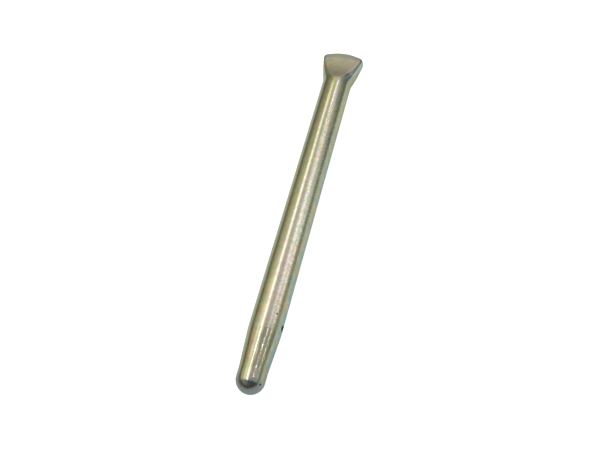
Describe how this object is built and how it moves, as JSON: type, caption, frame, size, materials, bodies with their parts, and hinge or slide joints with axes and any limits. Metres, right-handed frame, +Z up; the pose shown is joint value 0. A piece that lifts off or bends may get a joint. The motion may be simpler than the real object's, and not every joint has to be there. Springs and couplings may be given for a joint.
{
  "type": "clevis pin",
  "caption": "Straight clevis pin with a pressed fish-tail head, a lead taper with a ball nose, and a small cross hole for a split pin.",
  "frame": {"origin": "on the surface that the pin lies on, under the middle of its length and below its own axis", "axes": "+Y along the pin from the ball nose towards the head, +X across the spread of the head and along the split-pin hole, +Z up"},
  "size_m": [0.0144, 0.125, 0.01],
  "materials": {
    "yellow_zinc": "yellow-passivated zinc plate over cold-drawn steel, semi-bright with a faint rainbow tint"
  },
  "bodies": {
    "root": {"pin": "yellow_zinc"}
  },
  "joints": []
}
